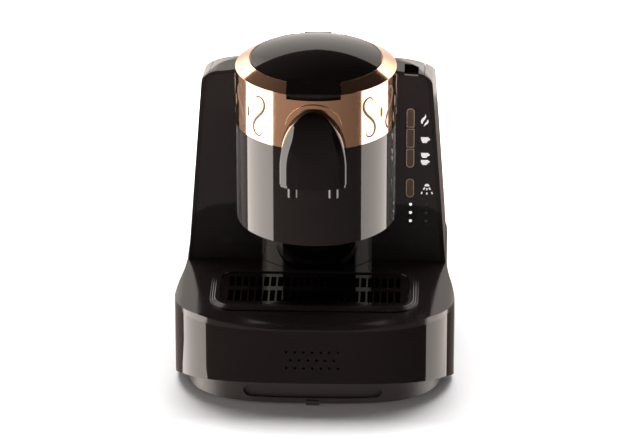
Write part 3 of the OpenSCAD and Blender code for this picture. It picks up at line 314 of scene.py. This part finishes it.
def rounded(name, width, material=None):
    """A CAD node's own form with its edges rounded over, shown in its stead."""
    source = frame["nodes"][name]
    mesh = source.data.copy()
    mesh.name = name + ".soft"
    if "custom_normal" in mesh.attributes:
        mesh.attributes.remove(mesh.attributes["custom_normal"])
    work = bmesh.new()
    work.from_mesh(mesh)
    bmesh.ops.remove_doubles(work, verts=work.verts, dist=ROUND_MERGE)
    bmesh.ops.dissolve_limit(work, angle_limit=ROUND_FLAT, verts=work.verts, edges=work.edges)
    work.to_mesh(mesh)
    work.free()
    smooth(mesh)
    slot = SLOTS[name]
    piece = place(mesh, name + ".soft", material or MATERIALS[slot], body_of(name))
    soften(piece, width)
    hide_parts(name)
    return piece


def faces_mesh(name, points, faces):
    """A mesh from points in metres and the faces between them."""
    mesh = bpy.data.meshes.new(name)
    mesh.from_pydata([tuple(p) for p in points], [], faces)
    mesh.update()
    return mesh


def strip_faces(rows, n, start=0, closed=False):
    """Faces between rows of n points each; a closed row's last point joins its first."""
    faces = []
    for i in range(rows - 1):
        for k in range(n if closed else n - 1):
            a, b = start + i * n + k, start + i * n + (k + 1) % n
            faces.append((a, b, b + n, a + n))
    return faces


def weld(mesh):
    """Joins points that meet, drops faces with no area and turns the rest one way."""
    work = bmesh.new()
    work.from_mesh(mesh)
    bmesh.ops.remove_doubles(work, verts=work.verts, dist=WELD_MERGE)
    bmesh.ops.dissolve_degenerate(work, dist=WELD_SMALLEST, edges=work.edges)
    bmesh.ops.recalc_face_normals(work, faces=work.faces)
    work.to_mesh(mesh)
    work.free()


def direction(line, i):
    """Unit direction of a flat line at its point i."""
    (x0, y0), (x1, y1) = line[max(0, i - 1)], line[min(len(line) - 1, i + 1)]
    length = math.hypot(x1 - x0, y1 - y0) or 1
    return (x1 - x0) / length, (y1 - y0) / length


# ------------------------------------------------------------ scroll ornament

SCROLLS_A_SIDE = 6
SCROLL_FIRST, SCROLL_PITCH = 52.5, 29.0    # along the band, from the middle of its front
SCROLL_HEIGHT, SCROLL_TURN, SCROLL_WIDTH = 36.5, 1.75, 2.8
BUD_BOW, BUD_STEP, BUD_STEPS, BUD_WIDTH = 0.9, 1.1, 10, 3.6
ORNAMENT_DROP = 1.5                        # below the middle of the band
STRAND_PROFILE = ((-1.0, 0.0), (-0.64, 0.85), (-0.55, 1.0), (0.55, 1.0), (0.64, 0.85), (1.0, 0.0))
STRAND_RELIEF, STRAND_SUNK = 0.45, 0.05
STRAND_TIP, STRAND_TAPER = 0.25, 3.0       # share of its width at a tip, and how fast it widens
CREST_FACING = 0.93                        # faces turned further away from outward take a painted shade


def scroll_curve(height, turn, count=84):
    """An upright S that curls in at both ends: its curvature grows evenly from its middle."""
    half = [(0.0, 0.0)]
    step = turn / count
    for i in range(count):
        a = math.pi / 2 * ((i + 0.5) * step) ** 2 + math.pi / 4
        half.append((half[-1][0] + step * math.cos(a), half[-1][1] + step * math.sin(a)))
    k = height / 2 / max(y for x, y in half)
    curl = [(x * k, y * k) for x, y in half]
    return [(-x, -y) for x, y in curl[:0:-1]] + curl


def ornament_lines(middle):
    """Centre line and width of each scroll, and of the bud beside it."""
    curl = scroll_curve(SCROLL_HEIGHT, SCROLL_TURN)
    bud = [(BUD_BOW * math.sin(math.pi * i / BUD_STEPS), BUD_STEP * (i - BUD_STEPS // 2))
           for i in range(BUD_STEPS + 1)]
    for side in (-1, 1):
        for k in range(SCROLLS_A_SIDE):
            mirror = side * (1 if k % 2 else -1)
            u = side * (SCROLL_FIRST + SCROLL_PITCH * k)
            beside = u + side * SCROLL_PITCH / 2
            yield [(u + mirror * x, middle + y) for x, y in curl], SCROLL_WIDTH
            yield [(beside + x, middle + y) for x, y in bud], BUD_WIDTH


def strand(line, width, radius, centre_y, points, faces):
    """Lays a raised strand with tapered ends on a cylinder, open at its back."""
    start, last, n = len(points), len(line) - 1, len(STRAND_PROFILE)
    for i, (u, v) in enumerate(line):
        du, dv = direction(line, i)
        taper = min(1.0, STRAND_TIP + STRAND_TAPER * min(i, last - i) / last)
        for across, up in STRAND_PROFILE:
            pu = u - dv * across * width * taper / 2
            pv = v + du * across * width * taper / 2
            r = radius + up * STRAND_RELIEF * taper - STRAND_SUNK
            turn = pu / radius
            points.append((r * math.sin(turn) * MM, (centre_y - r * math.cos(turn)) * MM, pv * MM))
    faces += strip_faces(len(line), n, start)
    faces.append(tuple(start + k for k in range(n)))
    faces.append(tuple(start + last * n + k for k in reversed(range(n))))


def band_scrolls():
    """The raised scroll ornament round the sides and back of the gold band, with painted shade on its
    flanks.
    """
    low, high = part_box("gold_band")
    radius = (high.x - low.x) / 2 / MM
    centre_y = (low.y + high.y) / 2 / MM
    middle = (low.z + high.z) / 2 / MM - ORNAMENT_DROP
    points, faces = [], []
    for line, width in ornament_lines(middle):
        strand(line, width, radius, centre_y, points, faces)
    mesh = faces_mesh("band_scrolls", points, faces)
    smooth(mesh, angle=25)
    place(mesh, "band_scrolls", MATERIALS["copper_gold"], "machine")
    # Flanks turned away from outward take the darker bronze: painted shade on the strands.
    mesh.materials.append(bronze_painted_shade())
    for face in mesh.polygons:
        outward = Vector((face.center.x, face.center.y - centre_y * MM, 0)).normalized()
        face.material_index = int(face.normal.dot(outward) < CREST_FACING)


# ------------------------------------------------------------ spout

SPOUT_ROWS = (0, 0.25, 2.7, 2.95, 3.2, 3.6, 6, 9, 12, 15)    # heights above the foot
SPOUT_STRAIGHT, SPOUT_ARCH_STEPS = 17.5, 60                  # height where the arch starts, its steps
SPOUT_UPRIGHT, SPOUT_LEAN = 12, 19.6                         # height where the face leans, and how far
SPINE_RISE = 0.45                                            # of the arch's height, at the face's middle
FACET_STEPS = (0.3, 0.9, 0.97)                               # from the edge to the face
FACE_STEPS = (0.0, 0.015, 0.06, 0.15, 0.3, 0.5, 0.75, 1.0)   # from the facet to the face's middle
EDGE_STEPS = 8

Spout = namedtuple("Spout", "half foot top front head_y head_radius reach")


def spout_sizes():
    """The spout housing's own box and the head that it stands out of, in millimetres."""
    low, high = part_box("spout_housing")
    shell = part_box("column_shell")
    head_y = (shell[0].y + shell[1].y) / 2 / MM
    return Spout(half=high.x / MM, foot=low.z / MM, top=high.z / MM, front=low.y / MM, head_y=head_y,
                 head_radius=(shell[1].x - shell[0].x) / 2 / MM, reach=head_y - low.y / MM)


def spout_outline(spout):
    """Rows round the spout's edge from foot to foot: x, z and the way that the edge faces."""
    left = [(-spout.half, spout.foot + up, -1.0, 0.0) for up in SPOUT_ROWS]
    rise = spout.top - spout.foot - SPOUT_STRAIGHT
    arch = []
    for i in range(SPOUT_ARCH_STEPS + 1):
        t = math.pi * (1 - i / SPOUT_ARCH_STEPS)
        x, z = spout.half * math.cos(t), spout.foot + SPOUT_STRAIGHT + rise * math.sin(t)
        nx, nz = math.cos(t) / spout.half, math.sin(t) / rise
        length = math.hypot(nx, nz)
        arch.append((x, z, nx / length, nz / length))
    right = [(-x, z, -nx, nz) for x, z, nx, nz in reversed(left)]
    return left + arch + right


def spout_face(x, z, spout):
    """Depth of the spout's front at x and z: upright below, leaning back to the head at the top."""
    start = spout.foot + SPOUT_UPRIGHT
    s = min(1.0, max(0.0, (z - start) / (spout.top - start)))
    lean = spout.front + SPOUT_LEAN * (1 - math.sqrt(1 - s * s))
    return max(lean, spout.head_y - math.sqrt(spout.reach * spout.reach - x * x))


def facet_width(nx):
    """Width of the facet inside the edge: narrow over the arch, broad down the sides."""
    narrow, more, start, span = 1.1, 5.0, 0.74, 0.21
    side = min(1.0, max(0.0, (abs(nx) - start) / span))
    return narrow + more * side * side * (3 - 2 * side)


def facet_steepness(nx):
    """How steeply the facet falls away towards the edge, steeper over the arch."""
    side, more, most = 0.64, 3.5, 0.88
    return min(most, side + more * (1 - abs(nx)))


def foot_inset(up):
    """How far the spout is set in near its foot: by a step, and a chamfer at its lowest row."""
    step_height, step, chamfer_height, chamfer = 2.8, 0.7, 0.1, 0.35
    return (step if up < step_height else 0.0) + (chamfer if up < chamfer_height else 0.0)


def spout_edge(x, z, nx, nz, facet, front, deep, spout):
    """Points from inside the head's wall forward and round the edge onto the facet."""
    into_head, shortest, share, least = 0.8, 0.6, 0.5, 0.1
    wall = spout.head_y - math.sqrt(max(0.0, spout.head_radius ** 2 - x * x)) + into_head
    slope = math.atan2(deep - front, facet)
    r = share * facet + least
    centre = deep + r * (math.cos(slope) - math.tan(slope) * (1 - math.sin(slope)))
    edge = [(x, max(wall, centre + shortest), z)]
    for t in range(EDGE_STEPS + 1):
        a = math.pi / 2 + (slope - math.pi / 2) * t / EDGE_STEPS
        d = r * (1 - math.sin(a))
        edge.append((x - nx * d, centre - r * math.cos(a), z - nz * d))
    return edge


def spout_ring(x, z, nx, nz, spout):
    """Points from one row of the outline in over the edge and the facet to the middle of the face."""
    facet, inset = facet_width(nx), foot_inset(z - spout.foot)
    spine = z
    if z > spout.foot + SPOUT_STRAIGHT:
        spine = spout.foot + SPOUT_STRAIGHT + SPINE_RISE * (z - spout.foot - SPOUT_STRAIGHT)
    x -= nx * inset
    inner_x, inner_z = x - nx * facet, z - nz * facet
    front = spout_face(inner_x, inner_z, spout) + inset
    deep = front + facet_steepness(nx) * facet
    ring = spout_edge(x, z, nx, nz, facet, front, deep, spout)
    for f in FACET_STEPS:
        ring.append((x - nx * facet * f, deep + (front - deep) * f, z - nz * facet * f))
    for f in FACE_STEPS:
        px, pz = inner_x * (1 - f), inner_z + (spine - inner_z) * f
        ring.append((px, spout_face(px, pz, spout) + inset, pz))
    return ring


def turn_in_rim(points, faces, rows, n):
    """Turns the shell's lower rim in and up, so that it has some thickness from below."""
    narrower, back, furthest_back, up = 0.93, 2.1, -84.0, 2.5
    start = len(points)
    for row in (0, rows - 1):
        for x, y, z in points[row * n:(row + 1) * n]:
            points.append((x * narrower, min(y + back, furthest_back), z + up))
    for side, row in enumerate((0, rows - 1)):
        for k in range(n - 1):
            a, b = row * n + k, start + side * n + k
            faces.append((a, a + 1, b + 1, b) if side else (a, b, b + 1, a + 1))


def spout_shell():
    """Spout housing: an arched face with a broad facet down each side and a step at its foot."""
    spout = spout_sizes()
    rings = [spout_ring(*row, spout) for row in spout_outline(spout)]
    points = [point for ring in rings for point in ring]
    rows, n = len(rings), len(rings[0])
    faces = strip_faces(rows, n)
    turn_in_rim(points, faces, rows, n)
    mesh = faces_mesh("spout_housing.shell", [Vector(p) * MM for p in points], faces)
    weld(mesh)
    smooth(mesh, angle=15)
    piece = place(mesh, "spout_housing.shell", MATERIALS["gloss_black"], "machine")
    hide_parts("spout_housing")


# ------------------------------------------------------------ panel print

PANEL_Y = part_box("front_panel")[0].y / MM
PRINT_PROUD = 0.04
ICON_X = 95.7
FLAMES, SPRAY = (ICON_X - 1.0, 220.8), (ICON_X + 1.6, 155.0)
CUPS = ((202.2, 8.2, 5.4), (187.4, 8.0, 4.8), (180.6, 8.0, 4.8))    # height on the panel, width, height
DASH_WIDTH, MIDDLE_DASH_DROP = 1.2, 0.5


def flat_print(outlines):
    """Thin printed shapes just proud of the front panel, from outlines in x and z."""
    points, faces = [], []
    for line in outlines:
        start = len(points)
        points += [(x * MM, (PANEL_Y - PRINT_PROUD) * MM, z * MM) for x, z in line]
        faces.append(tuple(range(start, start + len(line))))
    return points, faces


def stroke(line, width):
    """A flat stroke of one width along a line, as an outline."""
    left, right = [], []
    for i, (x, z) in enumerate(line):
        dx, dz = direction(line, i)
        left.append((x - dz * width / 2, z + dx * width / 2))
        right.append((x + dz * width / 2, z - dx * width / 2))
    return left + right[::-1]


def cup_outline(x, z, w, h):
    """A cup seen from the side, with its handle to the right."""
    return [(x - w * 0.5, z + h * 0.5), (x + w * 0.30, z + h * 0.5), (x + w * 0.34, z + h * 0.34),
            (x + w * 0.50, z + h * 0.16), (x + w * 0.44, z - h * 0.02), (x + w * 0.24, z - h * 0.16),
            (x + w * 0.12, z - h * 0.5), (x - w * 0.30, z - h * 0.5), (x - w * 0.46, z - h * 0.1)]


def flame_outlines(x, z):
    """Two leaning curls of heat."""
    big = [(-3.3, -1.6), (-3.1, 0.6), (-1.6, 2.4), (0.1, 4.0), (0.7, 6.3), (1.4, 3.6), (0.3, 1.2),
           (-1.2, -0.9), (-1.9, -3.2), (-2.8, -2.8)]
    small = [(-0.9, -5.6), (0.2, -2.7), (1.9, -0.9), (2.9, 1.2), (3.6, -1.0), (2.4, -3.2), (0.6, -4.6)]
    return [[(x + a, z + b) for a, b in line] for line in (big, small)]


def spray_outlines(x, z):
    """A spray head over two rows of falling dashes."""
    head = [(x - 2.4, z + 2.5), (x - 1.5, z + 4.4), (x, z + 5.1), (x + 1.5, z + 4.4), (x + 2.4, z + 2.5)]
    lines = [head]
    for lean in (-1, 0, 1):
        drop = 0.0 if lean else MIDDLE_DASH_DROP
        for near, far in (((1.9, 1.2), (3.1, -0.8)), ((4.1, -3.0), (5.0, -4.9))):
            lines.append(stroke([(x + lean * near[0], z + near[1] - drop),
                                 (x + lean * far[0], z + far[1] - drop)], DASH_WIDTH))
    return lines


def panel_icons():
    """White pictograms beside the buttons, with a faint painted glow."""
    outlines = flame_outlines(*FLAMES)
    outlines += [cup_outline(ICON_X, *cup) for cup in CUPS]
    outlines += spray_outlines(*SPRAY)
    points, faces = flat_print(outlines)
    mesh = faces_mesh("panel_icons", points, faces)
    place(mesh, "panel_icons", print_white_painted_glow(), "machine")


# ------------------------------------------------------------ buttons and lamps

BUTTONS = (("button_slow_brew", True, False), ("button_one_cup", False, False),
           ("button_two_cups", False, True), ("button_clean", True, True))    # round at its top, foot
BUTTON_FLANGE, SQUARE_CORNER, CORNER_STEP = 1.3, 0.8, 15
RIM = ((0.08, 0.07), (0.2, -0.03), (0.62, -0.03), (0.75, 0.07))    # in from the edge, behind the face
LAMP_ROUND = 0.15
UNLIT_FROM = 90 * MM


def button_outline(low, high, inset, round_top, round_foot):
    """Outline of a button's face in x and z: a bar whose ends are round or square."""
    x0, x1 = low.x / MM + BUTTON_FLANGE + inset, high.x / MM - BUTTON_FLANGE - inset
    z0, z1 = low.z / MM + inset, high.z / MM - inset
    r, cx = (x1 - x0) / 2, (x0 + x1) / 2
    out = []
    for sign, z, is_round in ((1, z1, round_top), (-1, z0, round_foot)):
        k = r if is_round else SQUARE_CORNER
        for degrees in range(0, 181, CORNER_STEP):
            a = math.radians(degrees)
            side = sign if degrees <= 90 else -sign
            x = cx + side * (r - k) + sign * k * math.cos(a)
            out.append((x, z - sign * k + sign * k * math.sin(a)))
    return out


def button_rims():
    """A lighter raised rim round each button."""
    for name, round_top, round_foot in BUTTONS:
        low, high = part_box(name)
        front = low.y / MM
        loops = [button_outline(low, high, inset, round_top, round_foot) for inset, behind in RIM]
        points = [(x * MM, (front + behind) * MM, z * MM)
                  for loop, (inset, behind) in zip(loops, RIM) for x, z in loop]
        mesh = faces_mesh(name + ".rim", points, strip_faces(len(loops), len(loops[0]), closed=True))
        smooth(mesh, angle=40)
        place(mesh, name + ".rim", copper_edge(), body_of(name))


def lamps():
    """The left column of lamps lit, the right one dark."""
    piece = rounded("indicator_pipes", LAMP_ROUND)
    piece.data.materials.append(unlit_lens())
    for face in piece.data.polygons:
        face.material_index = int(face.center.x > UNLIT_FROM)


# ------------------------------------------------------------ pieces

# Radius of the edges of each rounded piece, in millimetres.
ROUNDED = {
    "base_shell": 0.6, "base_pan": 0.4, "base_cover": 0.4, "rubber_feet": 0.5, "rear_housing": 0.5,
    "top_cover_left": 0.5, "top_cover_right": 0.5, "pillar_cover": 0.4,
    "column_shell": 0.3, "gold_band": 0.1, "spout_collar": 0.5, "chamfer_ring": 0.35,
    "spout_floor": 0.2, "nozzles": 0.25, "lid_dome": 0.4, "drip_tray": 0.6,
    "button_slow_brew": 0.3, "button_one_cup": 0.3, "button_two_cups": 0.3,
    "button_clean": 0.3, "water_tank": 0.6, "tank_lid": 0.5, "mains_inlet": 0.2,
}

FINISH = {"front_panel": panel_black(), "base_pan": pan_black(), "base_shell": wall_black(),
          "column_shell": column_black()}


def carry_over():
    """CAD nodes that keep their own mesh take the procedural finish of their slot."""
    for name, piece in frame["nodes"].items():
        for slot in piece.material_slots:
            slot.material = FINISH.get(name) or MATERIALS[SLOTS[name]]


def build():
    """Every piece of the object."""
    carry_over()
    lamps()
    button_rims()
    for name, width in ROUNDED.items():
        rounded(name, width, material=FINISH.get(name))
    band_scrolls()
    spout_shell()
    panel_icons()


# ------------------------------------------------------------ stage

LIGHT_TINT = (1.0, 0.91, 0.84, 1)
CARD_Y, CARD_HALF, CARD_LOW, CARD_STEPS = 1.3, 1.7, -0.3, 40
CARD_TOP, CARD_RISE, CARD_BEND = 0.965, 0.42, 0.02    # top at its middle, climb to its sides, blend
FLOOR_RADIUS, FLOOR_SIDES = 14.0, 96
SKY_TINT = (1.0, 0.78, 0.70, 1)
SKY_LEAN = (-0.156, -0.03, -0.196)                    # the way that the surroundings brighten


def softbox(name, centre, size, facing, radiance):
    """A rectangular soft light with sharp edges, seen in gloss but not by the camera."""
    light = bpy.data.lights.new(name, "AREA")
    light.shape = "RECTANGLE"
    light.size, light.size_y = size
    light.energy = radiance * math.pi * size[0] * size[1]
    light.color = LIGHT_TINT[:3]
    lamp = bpy.data.objects.new(name, light)
    scene.collection.objects.link(lamp)
    lamp.location = centre
    lamp.rotation_euler = Vector(facing).to_track_quat("-Z", "Y").to_euler()
    lamp.visible_camera = False
    lamp.visible_diffuse = False
    return lamp


def lights():
    """A tall box at each side for the gloss alone, and two fills for diffuse light alone."""
    softbox("box_left", centre=(-1.0, -0.08, 0.45), size=(0.98, 2.2), facing=(1, 0, 0), radiance=6.0)
    softbox("box_right", centre=(1.0, 0.1125, 0.45), size=(1.055, 2.2), facing=(-1, 0, 0), radiance=4.2)
    fills = (
        softbox("fill_top", centre=(0, 0.95, 2.2), size=(2.6, 1.7), facing=(0, -0.3, -1), radiance=9.6),
        softbox("fill_front", centre=(0, -2.6, 1.4), size=(2.4, 1.2), facing=(0, 1, -0.5), radiance=0.9))
    for fill in fills:
        fill.visible_glossy = False
        fill.visible_diffuse = True


def card_shape():
    """An upright card whose top edge climbs from its middle to its sides."""
    across = [CARD_HALF * (2 * i / CARD_STEPS - 1) for i in range(CARD_STEPS + 1)]
    dip = CARD_RISE * math.sqrt(CARD_BEND)
    tops = [CARD_TOP + CARD_RISE * math.sqrt(x * x + CARD_BEND) - dip for x in across]
    points = [(x, CARD_Y, z) for x, z in zip(across, tops)] + [(x, CARD_Y, CARD_LOW) for x in across]
    return faces_mesh("card", points, strip_faces(2, len(across)))


def card_glow():
    """Light of the softboxes' tint, brighter towards both sides."""
    material = bpy.data.materials.new("card")
    material.use_nodes = True
    tree = material.node_tree
    light = node(tree, "ShaderNodeEmission", Color=LIGHT_TINT)
    coords = tree.nodes.new("ShaderNodeTexCoord").outputs["Object"]
    side = calculate(tree, "ShaderNodeMath", "ABSOLUTE", axis(tree, coords, "X"))
    tree.links.new(ramp(tree, side, start=0.45, end=0.9, low=1.05, high=3.2), light.inputs["Strength"])
    tree.links.new(light.outputs[0], tree.nodes["Material Output"].inputs["Surface"])
    return material


def rear_card():
    """A pale card behind for the gloss to mirror."""
    mesh = card_shape()
    mesh.materials.append(card_glow())
    card = bpy.data.objects.new("card", mesh)
    scene.collection.objects.link(card)
    card.visible_camera = False


def floor_painted_light(tree, shader):
    """Painted light on the floor: it glows ahead of the shadow and, more, far out, where the shadow fades
    to white.
    """
    coords = tree.nodes.new("ShaderNodeTexCoord").outputs["Object"]
    away = calculate(tree, "ShaderNodeVectorMath", "LENGTH", coords)
    far = ramp(tree, away, start=0.25, end=0.9, low=0.002, high=0.9)
    ahead = ramp(tree, axis(tree, coords, "Y"), start=-0.143, end=-0.20, low=0.0, high=0.55)
    most = calculate(tree, "ShaderNodeMath", "MAXIMUM", far, ahead)
    tree.links.new(most, shader.inputs["Emission Strength"])
    shader.inputs["Emission Color"].default_value = WHITE


def floor():
    """A pale floor that the gloss doesn't mirror, with painted light that shapes its shadow."""
    work = bmesh.new()
    bmesh.ops.create_circle(work, cap_ends=True, radius=FLOOR_RADIUS, segments=FLOOR_SIDES)
    mesh = bpy.data.meshes.new("floor")
    work.to_mesh(mesh)
    work.free()
    ground = bpy.data.objects.new("floor", mesh)
    scene.collection.objects.link(ground)
    material, shader = surface("floor", (0.77, 0.84, 0.91), rough=0.9, tone=0.005, drift=2.0, bump=0.01)
    # Painted light: an emission, weak near the base and stronger ahead of it and far out, that shapes the
    # shadow's fade.
    floor_painted_light(material.node_tree, shader)
    mesh.materials.append(material)
    ground.visible_glossy = False


def world():
    """Dim, warm surroundings in the gloss, brighter low down and to the left; white to the camera."""
    made = bpy.data.worlds.new("studio")
    made.use_nodes = True
    tree = made.node_tree
    dim = tree.nodes["Background"]
    dim.inputs["Color"].default_value = SKY_TINT
    coords = tree.nodes.new("ShaderNodeTexCoord").outputs["Generated"]
    lean = tree.nodes.new("ShaderNodeVectorMath")
    lean.operation = "DOT_PRODUCT"
    lean.inputs[1].default_value = SKY_LEAN
    tree.links.new(coords, lean.inputs[0])
    level = ramp(tree, lean.outputs["Value"], start=-0.186, end=0.794, low=0.02, high=1.0)
    tree.links.new(level, dim.inputs["Strength"])
    white = node(tree, "ShaderNodeBackground", Color=WHITE)
    ray = tree.nodes.new("ShaderNodeLightPath")
    mix = tree.nodes.new("ShaderNodeMixShader")
    tree.links.new(ray.outputs["Is Camera Ray"], mix.inputs[0])
    tree.links.new(dim.outputs[0], mix.inputs[1])
    tree.links.new(white.outputs[0], mix.inputs[2])
    tree.links.new(mix.outputs[0], tree.nodes["World Output"].inputs["Surface"])
    scene.world = made


def camera():
    """A long lens a little above, looking along +Y."""
    azimuth, elevation, distance = math.radians(1.777), math.radians(24.768), 3.836
    aim = Vector((2.858, -3.0, 126.142)) * MM
    back = Vector((math.sin(azimuth) * math.cos(elevation), -math.cos(azimuth) * math.cos(elevation),
                   math.sin(elevation)))
    lens = bpy.data.cameras.new("camera")
    lens.lens = 243.25
    lens.sensor_width = 36
    lens.dof.use_dof = False
    made = bpy.data.objects.new("camera", lens)
    scene.collection.objects.link(made)
    made.location = aim + back * distance
    made.rotation_euler = (-back).to_track_quat("-Z", "Y").to_euler()
    scene.camera = made


build()
lights()
rear_card()
floor()
world()
camera()
scene.view_settings.view_transform = "Standard"
